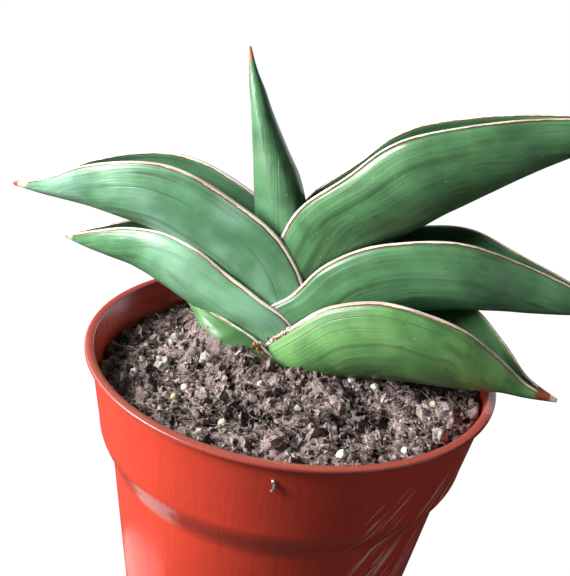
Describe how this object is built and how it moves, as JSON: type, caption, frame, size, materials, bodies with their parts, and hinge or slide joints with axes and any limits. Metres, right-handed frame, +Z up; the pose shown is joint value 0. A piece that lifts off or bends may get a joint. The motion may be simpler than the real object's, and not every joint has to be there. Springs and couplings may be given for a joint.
{
  "type": "potted snake plant",
  "caption": "Small two-ranked snake plant with thick channelled, white-edged green leaves, in a round terracotta-red plastic nursery pot of peaty mix.",
  "frame": {"origin": "middle of the pot's flat underside", "axes": "+Z up, +X towards the right-hand rank of leaves, +Y towards the back of the plant"},
  "size_m": [0.1612, 0.11, 0.171],
  "materials": {
    "red_plastic": "glossy terracotta-red moulded plastic with fine scratches",
    "peat": "dry crumbly peat with fibres",
    "leaf": "waxy green leaf with a cream-white margin, red-brown line and horny tip",
    "root": "tan corky stem and roots",
    "perlite": "white expanded perlite",
    "prill": "pale resin-coated feed ball",
    "lump": "rough lump of peat and bark"
  },
  "bodies": {
    "root": {"pot": "red_plastic", "potting_mix": "peat", "crown_and_roots": "root", "leaf_left_lower": "leaf", "leaf_right_lower": "leaf", "leaf_left_middle": "leaf", "leaf_right_middle": "leaf", "leaf_left_upper": "leaf", "leaf_right_upper": "leaf", "leaf_centre": "leaf", "perlite_1": "perlite", "perlite_2": "perlite", "perlite_3": "perlite", "perlite_4": "perlite", "perlite_5": "perlite", "perlite_6": "perlite", "fertiliser_prill_1": "prill", "fertiliser_prill_2": "prill", "fertiliser_prill_3": "prill", "fertiliser_prill_4": "prill", "fertiliser_prill_5": "prill", "fertiliser_prill_6": "prill", "soil_lump_1": "lump", "soil_lump_2": "lump", "soil_lump_3": "lump", "soil_lump_4": "lump"}
  },
  "joints": []
}
